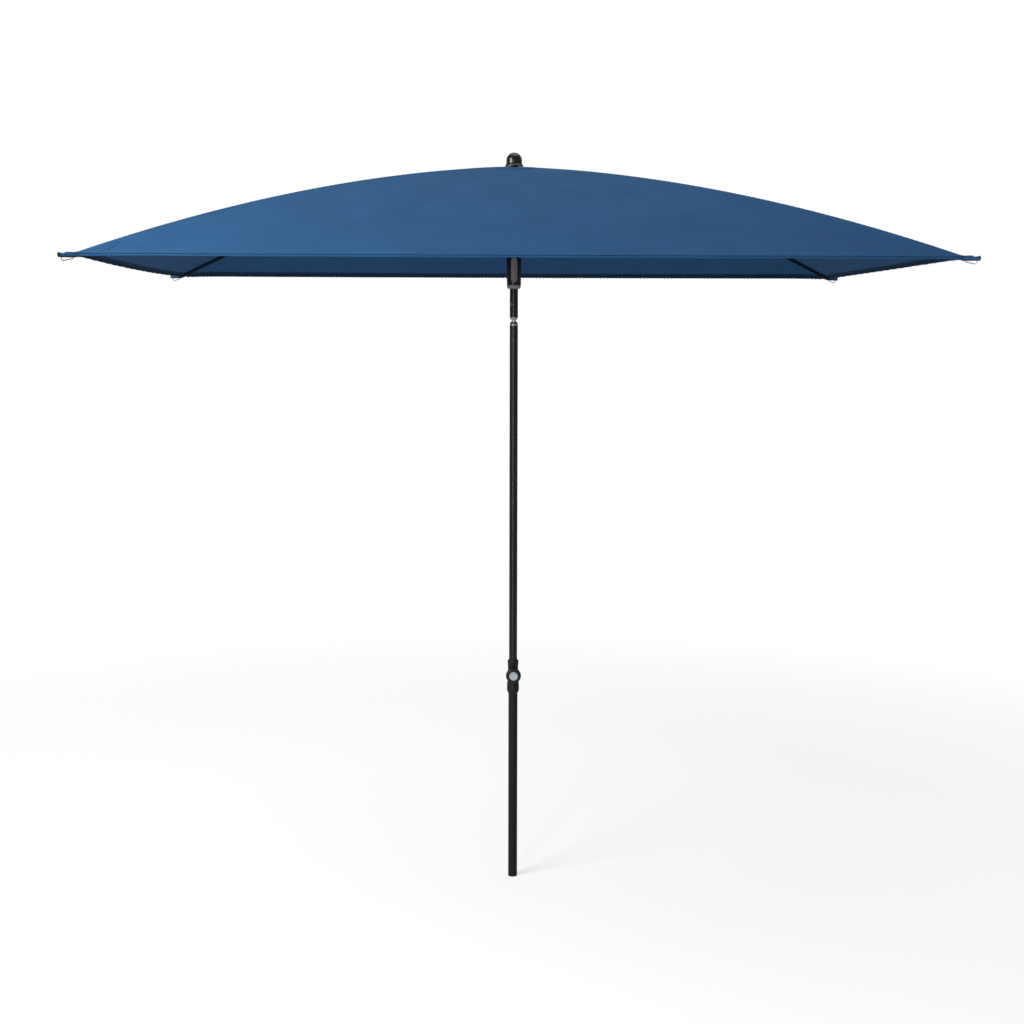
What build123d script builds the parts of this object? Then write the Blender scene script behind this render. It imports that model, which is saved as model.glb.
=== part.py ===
from build123d import *
from math import atan2, cos, degrees, hypot, radians, sin
import os

# Rectangular balcony parasol: two telescoping pole tubes with a screw clamp, a push-button
# tilt joint, a sliding runner and a four-rib canopy.
# Millimetres, +Z up. The origin is the centre of the pole's free lower end.
# The canopy's long side lies along X, and the clamp knob faces the front, which is -Y.

# ---- Driving dimensions ----------------------------------------------------------------
SPAN_X = 1035.0  # rib tip, half the long way
SPAN_Y = 645.0  # rib tip, half the short way
HEM_X = 1000.0  # fabric edge, half the long way
HEM_Y = 625.0  # fabric edge, half the short way
CROWN_Z = 1950.0  # fabric top at the centre
SHOULDER_Z = 1899.5  # middle control height of the fabric's arch
RIM_Z = 1673.5  # fabric top at the rib tips
FABRIC = 0.6  # canopy cloth
CROWN_PATCH_R = 60.0
SEAM_GAP = 0.3  # between soft solids that fold apart

LOWER_R = 12.5  # outside radius of the lower tube
UPPER_R = 11.0  # outside radius of the mast and canopy tubes
WALL = 1.0
LOWER_TOP = 598.0
MAST_BOTTOM = 246.0
MAST_TOP = 1532.0
TILT_Z = 1536.0
CANOPY_TUBE_BOTTOM = 1554.0
CANOPY_TUBE_TOP = 1926.0
FIT = 0.02  # radial clearance of pieces that are pressed or glued together
RUN = 0.05  # radial clearance of pieces that slide or turn

CLAMP_BOTTOM = 524.5
SEAT_R = 12.25  # outside radius of the lower tube inside the clamp
SEAT_Z = 524.0
CLAMP_TOP = 618.0
KNOB_Z = 580.0
PAD_HOLE_R = 5.8  # hole in the lower tube for the clamp pad
KNOB_R = 20.5
SCREW_R = 4.0

HINGE_R = 26.0  # rib and strut pivots, measured from the pole's axis
HUB_HINGE_Z = 1937.0
BRACKET_R = 520.0
BRACKET_Z = 1860.0

RIB_W = 8.0
RIB_H = 7.0
RIB_WALL = 0.8
RIB_DROP = 3.6  # rib top below the fabric's top
STRUT_W = 6.0
STRUT_H = 7.0
EYE_R = 4.2
SLOT_W = 7.2
PIN_R = 1.5

RUNNER_BOTTOM = 1639.0
RUNNER_TOP = 1800.0
RUNNER_BORE = 12.6
RING_BOTTOM = 1630.0

# ---- Worked out from them --------------------------------------------------------------
SPAN = hypot(SPAN_X, SPAN_Y)
RIB_ANGLE = degrees(atan2(SPAN_Y, SPAN_X))
CORNERS = {
    "back_right": RIB_ANGLE,
    "back_left": 180.0 - RIB_ANGLE,
    "front_left": 180.0 + RIB_ANGLE,
    "front_right": 360.0 - RIB_ANGLE,
}
ARM = hypot(BRACKET_R - HINGE_R, HUB_HINGE_Z - BRACKET_Z)
RUNNER_HINGE_Z = HUB_HINGE_Z - 2 * (HUB_HINGE_Z - BRACKET_Z)
LOWER_BORE = LOWER_R - WALL
UPPER_BORE = UPPER_R - WALL


def canopy_height(share):
    """Height of the fabric's top at a share of the way from the crown to the rim."""
    bend = CROWN_Z - 2 * SHOULDER_Z + RIM_Z
    return CROWN_Z + 2 * share * (SHOULDER_Z - CROWN_Z) + share * share * bend


def canopy_slope(share):
    """Change of canopy_height with share."""
    bend = CROWN_Z - 2 * SHOULDER_Z + RIM_Z
    return 2 * (SHOULDER_Z - CROWN_Z) + 2 * share * bend


def arch(start, end, span, drop):
    """Control points of the fabric's arch from start to end, lowered by drop."""
    start_z = canopy_height(start / span) - drop
    end_z = canopy_height(end / span) - drop
    middle_z = start_z + canopy_slope(start / span) * (end - start) / span / 2
    return [(start, start_z), ((start + end) / 2, middle_z), (end, end_z)]


def arch_band(start, end, span, top, bottom):
    """Sketch of the strip between two lowered arches."""
    upper = arch(start, end, span, top)
    lower = arch(start, end, span, bottom)
    with BuildSketch() as band:
        with BuildLine():
            Bezier(*upper)
            Line(upper[2], lower[2])
            Bezier(*reversed(lower))
            Line(lower[0], upper[0])
        make_face()
    return band.sketch


def rib_plane(angle):
    """Upright plane through the pole's axis: local X runs outward and local Y is up."""
    turn = radians(angle)
    return Plane(origin=(0, 0, 0), x_dir=(cos(turn), sin(turn), 0), z_dir=(sin(turn), -cos(turn), 0))


def facing_plane(angle):
    """Upright plane that faces outward at an angle: local Y is up."""
    turn = radians(angle)
    return Plane(origin=(0, 0, 0), x_dir=(-sin(turn), cos(turn), 0), z_dir=(cos(turn), sin(turn), 0))


def save(piece, name):
    piece.part.label = name
    export_step(piece.part, f"parts/{name}.step")


os.makedirs("parts", exist_ok=True)

# ---- Lower pole ------------------------------------------------------------------------
with BuildPart() as lower_tube:
    with BuildSketch(Plane.XY):
        Circle(LOWER_R)
        Circle(LOWER_BORE, mode=Mode.SUBTRACT)
    extrude(amount=LOWER_TOP)
    with BuildSketch(Plane.XY.offset(SEAT_Z)):
        Circle(LOWER_R + 1)
        Circle(SEAT_R, mode=Mode.SUBTRACT)
    extrude(amount=LOWER_TOP - SEAT_Z, mode=Mode.SUBTRACT)
    with BuildSketch(Plane.XZ.offset(LOWER_BORE / 2)):
        with Locations((0, KNOB_Z)):
            Circle(PAD_HOLE_R)
    extrude(amount=LOWER_R, mode=Mode.SUBTRACT)
save(lower_tube, "lower_tube")

# Plastic plug that closes the free end, flush with the tube.
with BuildPart() as foot_plug:
    with BuildSketch(Plane.XY):
        Circle(LOWER_BORE - FIT)
    extrude(amount=22)
    with BuildSketch(Plane.XY.offset(3)):
        Circle(LOWER_BORE - 2.5)
    extrude(amount=19, mode=Mode.SUBTRACT)
    chamfer(foot_plug.edges().filter_by(GeomType.CIRCLE).group_by(Axis.Z)[-1].sort_by(SortBy.RADIUS)[-1], 0.8)
save(foot_plug, "foot_plug")

# Clamp moulding: a barrel round the lower tube, a collar that guides the mast, and a boss
# at the front for the clamp screw.
BOSS_FACE = 26.0
BOSS_R = 14.5
NUT_R = 7.5  # across the hexagon's corners, halved
PAD_BORE = 5.6
PAD_POCKET = 17.4
with BuildPart() as clamp_body:
    with BuildSketch(Plane.XZ):
        with BuildLine():
            Line((0, CLAMP_BOTTOM), (13.1, CLAMP_BOTTOM))
            Spline((13.1, CLAMP_BOTTOM), (15.7, 529.5), (16.6, 540.0), (16.0, 553.0), (14.4, 562.0))
            Line((14.4, 562.0), (14.0, 590.0))
            Spline((14.0, 590.0), (14.2, 600.0), (15.0, 612.0))
            Line((15.0, 612.0), (14.6, 615.2))
            Line((14.6, 615.2), (12.6, CLAMP_TOP))
            Line((12.6, CLAMP_TOP), (0, CLAMP_TOP))
            Line((0, CLAMP_TOP), (0, CLAMP_BOTTOM))
        make_face()
    revolve(axis=Axis.Z)
    with BuildSketch(Plane.XZ):
        with Locations((0, KNOB_Z)):
            Circle(BOSS_R)
    extrude(amount=BOSS_FACE)
    fillet(clamp_body.faces().sort_by(Axis.Y)[0].edges(), 1.5)
    with BuildSketch(Plane.XY.offset(CLAMP_BOTTOM)):
        Circle(SEAT_R + FIT)
    extrude(amount=LOWER_TOP - CLAMP_BOTTOM, mode=Mode.SUBTRACT)
    with BuildSketch(Plane.XY.offset(LOWER_TOP)):
        Circle(UPPER_R + RUN)
    extrude(amount=CLAMP_TOP - LOWER_TOP, mode=Mode.SUBTRACT)
    with BuildSketch(Plane.XZ):
        with Locations((0, KNOB_Z)):
            Circle(PAD_BORE)
    extrude(amount=PAD_POCKET, mode=Mode.SUBTRACT)
    with BuildSketch(Plane.XZ.offset(PAD_POCKET)):
        with Locations((0, KNOB_Z)):
            RegularPolygon(NUT_R, 6)
    extrude(amount=BOSS_FACE - PAD_POCKET, mode=Mode.SUBTRACT)
save(clamp_body, "clamp_body")

# Threaded insert, a hexagon held in the boss.
with BuildPart() as clamp_nut:
    with BuildSketch(Plane.XZ.offset(PAD_POCKET + 0.1)):
        with Locations((0, KNOB_Z)):
            RegularPolygon(NUT_R - FIT, 6)
            Circle(SCREW_R + RUN, mode=Mode.SUBTRACT)
    extrude(amount=7.5)
save(clamp_nut, "clamp_nut")

# ---- Clamp screw, knob and pad ---------------------------------------------------------
PAD_FACE = 15.0
with BuildPart() as pressure_pad:
    with BuildSketch(Plane.XZ):
        with Locations((0, KNOB_Z)):
            Circle(PAD_BORE - RUN)
    extrude(amount=PAD_FACE)
    with BuildSketch(Plane.XY.offset(KNOB_Z - 10)):
        Circle(UPPER_R + RUN)
    extrude(amount=20, mode=Mode.SUBTRACT)
save(pressure_pad, "pressure_pad")

KNOB_BACK = 27.0
KNOB_FRONT = 42.0
SCREW_TIP = 36.0
with BuildPart() as clamp_screw:
    with BuildSketch(Plane.XZ.offset(PAD_FACE + RUN)):
        with Locations((0, KNOB_Z)):
            Circle(SCREW_R)
    extrude(amount=SCREW_TIP - PAD_FACE)
    chamfer(clamp_screw.faces().sort_by(Axis.Y)[-1].edges(), 0.6)
save(clamp_screw, "clamp_screw")

# Hand knob: a rounded disc with shallow finger flutes and a recess for the cap.
FLUTES = 12
FLUTE_R = 4.2
FLUTE_DEPTH = 0.8
CAP_R = 11.6
CAP_RECESS = 2.0
CAP_PROUD = 0.8
CAP_DIMPLE_R = 7.0
SCREW_COVER = 5.0  # knob material in front of the screw's end
with BuildPart() as height_knob:
    with BuildSketch(Plane.XZ.offset(KNOB_BACK)):
        with Locations((0, KNOB_Z)):
            Circle(KNOB_R)
    extrude(amount=KNOB_FRONT - KNOB_BACK)
    fillet(height_knob.faces().sort_by(Axis.Y)[0].edges(), 4.0)
    fillet(height_knob.faces().sort_by(Axis.Y)[-1].edges(), 1.5)
    with BuildSketch(Plane.XZ.offset(KNOB_BACK)):
        with Locations((0, KNOB_Z)):
            with PolarLocations(KNOB_R + FLUTE_R - FLUTE_DEPTH, FLUTES):
                Circle(FLUTE_R)
    extrude(amount=KNOB_FRONT - KNOB_BACK, mode=Mode.SUBTRACT)
    with BuildSketch(Plane.XZ.offset(KNOB_FRONT - CAP_RECESS)):
        with Locations((0, KNOB_Z)):
            Circle(CAP_R + FIT)
    extrude(amount=CAP_RECESS, mode=Mode.SUBTRACT)
    with BuildSketch(Plane.XZ.offset(KNOB_BACK)):
        with Locations((0, KNOB_Z)):
            Circle(SCREW_R + FIT)
    extrude(amount=KNOB_FRONT - SCREW_COVER - KNOB_BACK, mode=Mode.SUBTRACT)
save(height_knob, "height_knob")

with BuildPart() as knob_cap:
    with BuildSketch(Plane.XZ.offset(KNOB_FRONT - CAP_RECESS + RUN)):
        with Locations((0, KNOB_Z)):
            Circle(CAP_R)
    extrude(amount=CAP_RECESS - RUN + CAP_PROUD)
    fillet(knob_cap.faces().sort_by(Axis.Y)[0].edges(), 0.6)
    with BuildSketch(Plane.XZ.offset(KNOB_FRONT + CAP_PROUD - 0.5)):
        with Locations((0, KNOB_Z)):
            Circle(CAP_DIMPLE_R)
    extrude(amount=1, mode=Mode.SUBTRACT)
save(knob_cap, "knob_cap")

# ---- Mast ------------------------------------------------------------------------------
with BuildPart() as mast_tube:
    with BuildSketch(Plane.XY.offset(MAST_BOTTOM)):
        Circle(UPPER_R)
        Circle(UPPER_BORE, mode=Mode.SUBTRACT)
    extrude(amount=MAST_TOP - MAST_BOTTOM)
save(mast_tube, "mast_tube")

# Bush on the mast's hidden end, which slides in the lower tube.
BUSH_BOTTOM = MAST_BOTTOM - 18
BUSH_SPIGOT = 16.0
BUSH_BORE = 6.5
with BuildPart() as mast_foot_bush:
    with BuildSketch(Plane.XY.offset(BUSH_BOTTOM)):
        Circle(LOWER_BORE - RUN)
    extrude(amount=MAST_BOTTOM - BUSH_BOTTOM)
    chamfer(mast_foot_bush.faces().sort_by(Axis.Z)[0].edges(), 1.0)
    with BuildSketch(Plane.XY.offset(MAST_BOTTOM)):
        Circle(UPPER_BORE - FIT)
    extrude(amount=BUSH_SPIGOT)
    with BuildSketch(Plane.XY.offset(BUSH_BOTTOM)):
        Circle(BUSH_BORE)
    extrude(amount=MAST_BOTTOM - BUSH_BOTTOM + BUSH_SPIGOT, mode=Mode.SUBTRACT)
save(mast_foot_bush, "mast_foot_bush")

# Die-cast socket in the mast's top, domed above the tube and slotted for the tilt tongue.
TONGUE_W = 12.0
TONGUE_R = 8.0
TILT_PIN_R = 3.0
SOCKET_BOTTOM = 1496.0
DOME_TOP = 1543.0
with BuildPart() as tilt_socket:
    with BuildSketch(Plane.XZ):
        with BuildLine():
            Line((0, SOCKET_BOTTOM), (UPPER_BORE - FIT, SOCKET_BOTTOM))
            Line((UPPER_BORE - FIT, SOCKET_BOTTOM), (UPPER_BORE - FIT, MAST_TOP))
            Line((UPPER_BORE - FIT, MAST_TOP), (UPPER_R, MAST_TOP))
            Line((UPPER_R, MAST_TOP), (UPPER_R, MAST_TOP + 2))
            ThreePointArc((UPPER_R, MAST_TOP + 2), (9.9, 1539.2), (6.8, DOME_TOP))
            Line((6.8, DOME_TOP), (0, DOME_TOP))
            Line((0, DOME_TOP), (0, SOCKET_BOTTOM))
        make_face()
    revolve(axis=Axis.Z)
    with BuildSketch(Plane.YZ):
        with Locations((0, TILT_Z)):
            Circle(TONGUE_R + 0.7)
        with Locations((0, TILT_Z + 10)):
            Rectangle(2 * UPPER_R + 2, 20)
    extrude(amount=TONGUE_W / 2 + 0.1, both=True, mode=Mode.SUBTRACT)
    with BuildSketch(Plane.YZ):
        with Locations((0, TILT_Z)):
            Circle(TILT_PIN_R + FIT)
    extrude(amount=UPPER_R + 1, both=True, mode=Mode.SUBTRACT)
save(tilt_socket, "tilt_socket")

with BuildPart() as tilt_pin:
    with BuildSketch(Plane.YZ):
        with Locations((0, TILT_Z)):
            Circle(TILT_PIN_R)
    extrude(amount=8.8, both=True)
save(tilt_pin, "tilt_pin")

# ---- Canopy pole: tongue, lock and button ----------------------------------------------
BOLT_R = 2.5
PLUG_TOP = 1576.0
with BuildPart() as tilt_tongue:
    with BuildSketch(Plane.XZ):
        with BuildLine():
            Line((0, TILT_Z), (6.0, TILT_Z))
            Line((6.0, TILT_Z), (6.0, 1547.0))
            ThreePointArc((6.0, 1547.0), (8.6, 1549.1), (9.6, 1551.2))
            ThreePointArc((9.6, 1551.2), (10.6, 1552.4), (UPPER_R, CANOPY_TUBE_BOTTOM))
            Line((UPPER_R, CANOPY_TUBE_BOTTOM), (UPPER_BORE - FIT, CANOPY_TUBE_BOTTOM))
            Line((UPPER_BORE - FIT, CANOPY_TUBE_BOTTOM), (UPPER_BORE - FIT, PLUG_TOP))
            Line((UPPER_BORE - FIT, PLUG_TOP), (0, PLUG_TOP))
            Line((0, PLUG_TOP), (0, TILT_Z))
        make_face()
    revolve(axis=Axis.Z)
    with BuildSketch(Plane.YZ):
        with Locations((0, TILT_Z)):
            Circle(TONGUE_R)
    extrude(amount=TONGUE_W / 2, both=True)
    with BuildSketch(Plane.YZ):
        with Locations((0, TILT_Z)):
            Circle(TILT_PIN_R + RUN)
    extrude(amount=TONGUE_W, both=True, mode=Mode.SUBTRACT)
    with BuildSketch(Plane.XY.offset(TILT_Z)):
        Circle(BOLT_R + RUN)
    extrude(amount=PLUG_TOP - TILT_Z, mode=Mode.SUBTRACT)
save(tilt_tongue, "tilt_tongue")

BUTTON_Z = 1589.0
BUTTON_R = 3.4
BUTTON_TURN = 240.0
BUTTON_FACE = 12.2
LATCH_Z = 1702.0
LATCH_R = 3.0
with BuildPart() as canopy_tube:
    with BuildSketch(Plane.XY.offset(CANOPY_TUBE_BOTTOM)):
        Circle(UPPER_R)
        Circle(UPPER_BORE, mode=Mode.SUBTRACT)
    extrude(amount=CANOPY_TUBE_TOP - CANOPY_TUBE_BOTTOM)
    with BuildSketch(facing_plane(BUTTON_TURN)):
        with Locations((0, BUTTON_Z)):
            Circle(BUTTON_R + RUN)
    extrude(amount=UPPER_R + 1, mode=Mode.SUBTRACT)
    with BuildSketch(Plane.XZ):
        with Locations((0, LATCH_Z)):
            Circle(LATCH_R + 0.5)
    extrude(amount=UPPER_R + 1, mode=Mode.SUBTRACT)
save(canopy_tube, "canopy_tube")

# Lock bolt: its tip stands over the hinge pin, and its coned head is lifted by the button.
CONE_Z = 1583.0
HEAD_R = 8.0
HEAD_TOP = 1595.0
with BuildPart() as lock_bolt:
    with BuildSketch(Plane.XZ):
        with BuildLine():
            Polyline(
                (0, TILT_Z + TILT_PIN_R + 0.5),
                (BOLT_R, TILT_Z + TILT_PIN_R + 0.5),
                (BOLT_R, CONE_Z + BOLT_R),
                (HEAD_R, CONE_Z + HEAD_R),
                (HEAD_R, HEAD_TOP),
                (0, HEAD_TOP),
                close=True,
            )
        make_face()
    revolve(axis=Axis.Z)
save(lock_bolt, "lock_bolt")

# Push button: a short rod whose inner end is cut at 45 degrees to match the cone.
NOSE_GAP = 0.5
with BuildPart() as tilt_button:
    with BuildSketch(facing_plane(BUTTON_TURN)):
        with Locations((0, BUTTON_Z)):
            Circle(BUTTON_R)
    extrude(amount=BUTTON_FACE)
    fillet(tilt_button.faces().sort_by(Axis.Y)[0].edges(), 0.5)
    with BuildSketch(rib_plane(BUTTON_TURN)):
        with BuildLine():
            Polyline(
                (-1, BUTTON_Z - 8),
                (5.2, BUTTON_Z - 8),
                (5.2, CONE_Z + 5.2 - NOSE_GAP),
                (BUTTON_FACE + 3, CONE_Z + BUTTON_FACE + 3 - NOSE_GAP),
                (-1, CONE_Z + BUTTON_FACE + 3 - NOSE_GAP),
                close=True,
            )
        make_face()
    extrude(amount=10, both=True, mode=Mode.SUBTRACT)
save(tilt_button, "tilt_button")

SPRING_TOP = 1613.0
SPRING_WIRE = 0.6
SPRING_R = 5.0
with BuildPart() as lock_spring:
    with BuildLine():
        coil = Helix(
            pitch=3.2,
            height=SPRING_TOP - HEAD_TOP - 2 * SPRING_WIRE - 0.2,
            radius=SPRING_R,
            center=(0, 0, HEAD_TOP + SPRING_WIRE + 0.1),
        )
    with BuildSketch(Plane(origin=coil @ 0, z_dir=coil % 0)):
        Circle(SPRING_WIRE)
    sweep()
save(lock_spring, "lock_spring")

with BuildPart() as spring_seat:
    with BuildSketch(Plane.XY.offset(SPRING_TOP)):
        Circle(UPPER_BORE - FIT)
        Circle(2.5, mode=Mode.SUBTRACT)
    extrude(amount=8)
save(spring_seat, "spring_seat")

# ---- Top hub, pins and finial ----------------------------------------------------------
HUB_R = 31.0
HUB_LOW = HUB_HINGE_Z - 8
HUB_HIGH = HUB_HINGE_Z + 6
RIB_PIN_HALF = 9.0
NECK_R = 8.5
NECK_TOP = CROWN_Z + 1.0
STUD_R = 3.0
STUD_BOTTOM = 1915.0
STUD_TOP = 1968.0
with BuildPart() as top_hub:
    with BuildSketch(Plane.XZ):
        with BuildLine():
            Polyline(
                (0, CANOPY_TUBE_TOP - 30),
                (UPPER_BORE - FIT, CANOPY_TUBE_TOP - 30),
                (UPPER_BORE - FIT, CANOPY_TUBE_TOP),
                (14, CANOPY_TUBE_TOP),
                (20, HUB_LOW),
                (HUB_R - 1, HUB_LOW),
                (HUB_R, HUB_LOW + 1),
                (HUB_R, HUB_HIGH - 1.5),
                (HUB_R - 1.5, HUB_HIGH),
                (NECK_R, HUB_HIGH + 1),
                (NECK_R, NECK_TOP),
                (0, NECK_TOP),
                close=True,
            )
        make_face()
    revolve(axis=Axis.Z)
    for angle in CORNERS.values():
        with BuildSketch(rib_plane(angle)):
            with Locations((HINGE_R + 5, HUB_HINGE_Z)):
                Rectangle(21, 40)
        extrude(amount=SLOT_W / 2, both=True, mode=Mode.SUBTRACT)
        with BuildSketch(rib_plane(angle)):
            with Locations((HINGE_R, HUB_HINGE_Z)):
                Circle(PIN_R + FIT)
        extrude(amount=RIB_PIN_HALF + 0.2, both=True, mode=Mode.SUBTRACT)
    with BuildSketch(Plane.XY.offset(STUD_BOTTOM - 0.5)):
        Circle(STUD_R + FIT)
    extrude(amount=NECK_TOP - STUD_BOTTOM + 1, mode=Mode.SUBTRACT)
save(top_hub, "top_hub")

with BuildPart() as rib_pins:
    for angle in CORNERS.values():
        with BuildSketch(rib_plane(angle)):
            with Locations((HINGE_R, HUB_HINGE_Z)):
                Circle(PIN_R)
        extrude(amount=RIB_PIN_HALF, both=True)
save(rib_pins, "rib_pins")

FINIAL_BASE = NECK_TOP + 0.1
FINIAL_R = 20.8
FINIAL_TOP = 1987.0
with BuildPart() as finial:
    with BuildSketch(Plane.XZ):
        with BuildLine():
            Line((0, FINIAL_BASE), (24.5, FINIAL_BASE))
            Line((24.5, FINIAL_BASE), (24.5, FINIAL_BASE + 1.6))
            ThreePointArc((24.5, FINIAL_BASE + 1.6), (21.9, FINIAL_BASE + 5), (FINIAL_R, FINIAL_BASE + 9.5))
            Line((FINIAL_R, FINIAL_BASE + 9.5), (FINIAL_R, FINIAL_TOP - FINIAL_R))
            CenterArc((0, FINIAL_TOP - FINIAL_R), FINIAL_R, 0, 90)
            Line((0, FINIAL_TOP), (0, FINIAL_BASE))
        make_face()
    revolve(axis=Axis.Z)
    with BuildSketch(Plane.XY.offset(FINIAL_BASE)):
        Circle(STUD_R + FIT)
    extrude(amount=STUD_TOP + 0.5 - FINIAL_BASE, mode=Mode.SUBTRACT)
save(finial, "finial")

with BuildPart() as finial_stud:
    with BuildSketch(Plane.XY.offset(STUD_BOTTOM)):
        Circle(STUD_R)
    extrude(amount=STUD_TOP - STUD_BOTTOM)
    chamfer(finial_stud.edges().filter_by(GeomType.CIRCLE), 0.5)
save(finial_stud, "finial_stud")

# ---- Runner ----------------------------------------------------------------------------
EAR_REACH = 31.5
EAR_WALL = 3.0
ROCKER_Y = -15.6
ROCKER_Z = 1678.5
ROCKER_W = 17.0
ROCKER_L = 65.0
ROCKER_GAP = 0.5
ROCKER_PIN_R = 1.2


def runner_outline(skin):
    """Sketch of half the runner's section, grown outward by skin."""
    with BuildSketch() as outline:
        with BuildLine():
            Polyline(
                (0, RUNNER_BOTTOM),
                (18.5 + skin, RUNNER_BOTTOM),
                (18.8 + skin, RUNNER_BOTTOM + 1.5),
                (20.5 + skin, 1725),
                (20.5 + skin, RUNNER_TOP - 3),
                (18.5 + skin, RUNNER_TOP),
                (0, RUNNER_TOP),
                close=True,
            )
        make_face()
    return outline.sketch


with BuildPart() as runner_sleeve:
    with BuildSketch(Plane.XZ):
        add(runner_outline(0))
    revolve(axis=Axis.Z)
    for angle in CORNERS.values():
        with BuildSketch(rib_plane(angle)):
            with Locations((EAR_REACH / 2 + 7, RUNNER_HINGE_Z)):
                RectangleRounded(EAR_REACH - 14, 17, 2.5)
        extrude(amount=SLOT_W / 2 + EAR_WALL, both=True)
    for angle in CORNERS.values():
        with BuildSketch(rib_plane(angle)):
            with Locations((20.6 + 10, RUNNER_HINGE_Z)):
                Rectangle(20, 40)
        extrude(amount=SLOT_W / 2, both=True, mode=Mode.SUBTRACT)
        with BuildSketch(rib_plane(angle)):
            with Locations((HINGE_R, RUNNER_HINGE_Z)):
                Circle(PIN_R + 0.3)
            with Locations((HINGE_R, RUNNER_HINGE_Z - 10)):
                Rectangle(2 * PIN_R + 0.6, 20)
        extrude(amount=SLOT_W / 2 + EAR_WALL + 1, both=True, mode=Mode.SUBTRACT)
    with BuildSketch(Plane.XY.offset(RUNNER_BOTTOM)):
        Circle(RUNNER_BORE)
    extrude(amount=RUNNER_TOP - RUNNER_BOTTOM, mode=Mode.SUBTRACT)
    with BuildSketch(Plane.XZ.offset(-ROCKER_Y - 1.6)):
        with Locations((0, ROCKER_Z)):
            SlotOverall(ROCKER_L + 2 * ROCKER_GAP, ROCKER_W + 2 * ROCKER_GAP, rotation=90)
    extrude(amount=12, mode=Mode.SUBTRACT)
    with BuildSketch(Plane.XZ):
        with Locations((0, LATCH_Z)):
            Circle(LATCH_R + 0.6)
    extrude(amount=16, mode=Mode.SUBTRACT)
    with BuildSketch(Plane.YZ):
        with Locations((ROCKER_Y, ROCKER_Z)):
            Circle(ROCKER_PIN_R + RUN)
    extrude(amount=11, both=True, mode=Mode.SUBTRACT)
save(runner_sleeve, "runner_sleeve")

with BuildPart() as runner_ring:
    with BuildSketch(Plane.XZ):
        with BuildLine():
            Polyline(
                (RUNNER_BORE, RING_BOTTOM),
                (16.6, RING_BOTTOM),
                (18.4, RUNNER_BOTTOM - 3.5),
                (18.4, RUNNER_BOTTOM),
                (RUNNER_BORE, RUNNER_BOTTOM),
                close=True,
            )
        make_face()
    revolve(axis=Axis.Z)
save(runner_ring, "runner_ring")

# Release rocker: pressing its lower half swings the latch nose at its upper half outward.
ROCKER_BACK = 17.2
with BuildPart() as runner_button:
    with BuildSketch(Plane.XZ):
        add(runner_outline(0.4))
    revolve(axis=Axis.Z)
    with BuildSketch(Plane.XZ.offset(ROCKER_BACK)):
        with Locations((0, ROCKER_Z)):
            SlotOverall(ROCKER_L, ROCKER_W, rotation=90)
    extrude(amount=10, mode=Mode.INTERSECT)
    with BuildSketch(Plane.XZ.offset(RUNNER_BORE + 0.3)):
        with Locations((0, LATCH_Z)):
            Circle(LATCH_R)
    extrude(amount=ROCKER_BACK - RUNNER_BORE)
    with BuildSketch(Plane.YZ):
        with Locations((ROCKER_Y, ROCKER_Z)):
            Circle(ROCKER_PIN_R)
        with Locations((ROCKER_Y - ROCKER_PIN_R, ROCKER_Z)):
            Rectangle(2 * ROCKER_PIN_R, 2 * ROCKER_PIN_R)
    extrude(amount=8.0, both=True)
    with BuildSketch(Plane.YZ):
        with Locations((ROCKER_Y, ROCKER_Z)):
            Circle(ROCKER_PIN_R)
    extrude(amount=10.5, both=True)
save(runner_button, "runner_button")

# Leaf spring in the pocket behind the rocker's lower half.
with BuildPart() as rocker_spring:
    with BuildSketch(Plane.YZ):
        with BuildLine():
            ThreePointArc((-14.35, 1651.5), (-16.7, 1661.5), (-14.35, 1671.5))
            offset(amount=0.2, side=Side.BOTH)
        make_face()
    extrude(amount=3, both=True)
save(rocker_spring, "rocker_spring")

# ---- Ribs, brackets, struts and tips ---------------------------------------------------
RIB_START = 42.0
TAB_END = 54.0
RIVET_HEAD_R = 2.8
EAR = 39.0  # length of the end piece beyond the rib
EAR_DROP = 2.0
EAR_H = 8.4
SHANK = 28.0
CLIP_DEPTH = 7.5
CLIP_WIRE = 1.0
rib_low = RIB_DROP + RIB_H
bracket_top = canopy_height(BRACKET_R / SPAN)
cheek = RIB_W / 2 + 1.1  # outer face of the bracket's cheeks
EAR_START = SPAN - EAR
RIB_END = EAR_START - 0.5
ear_mid = canopy_height(EAR_START / SPAN) - EAR_DROP - EAR_H / 2
ear_low = ear_mid - EAR_H / 2
shank_top = RIB_DROP + RIB_WALL + RUN
clip_ends = (EAR_START + 5, SPAN - 8)

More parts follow.
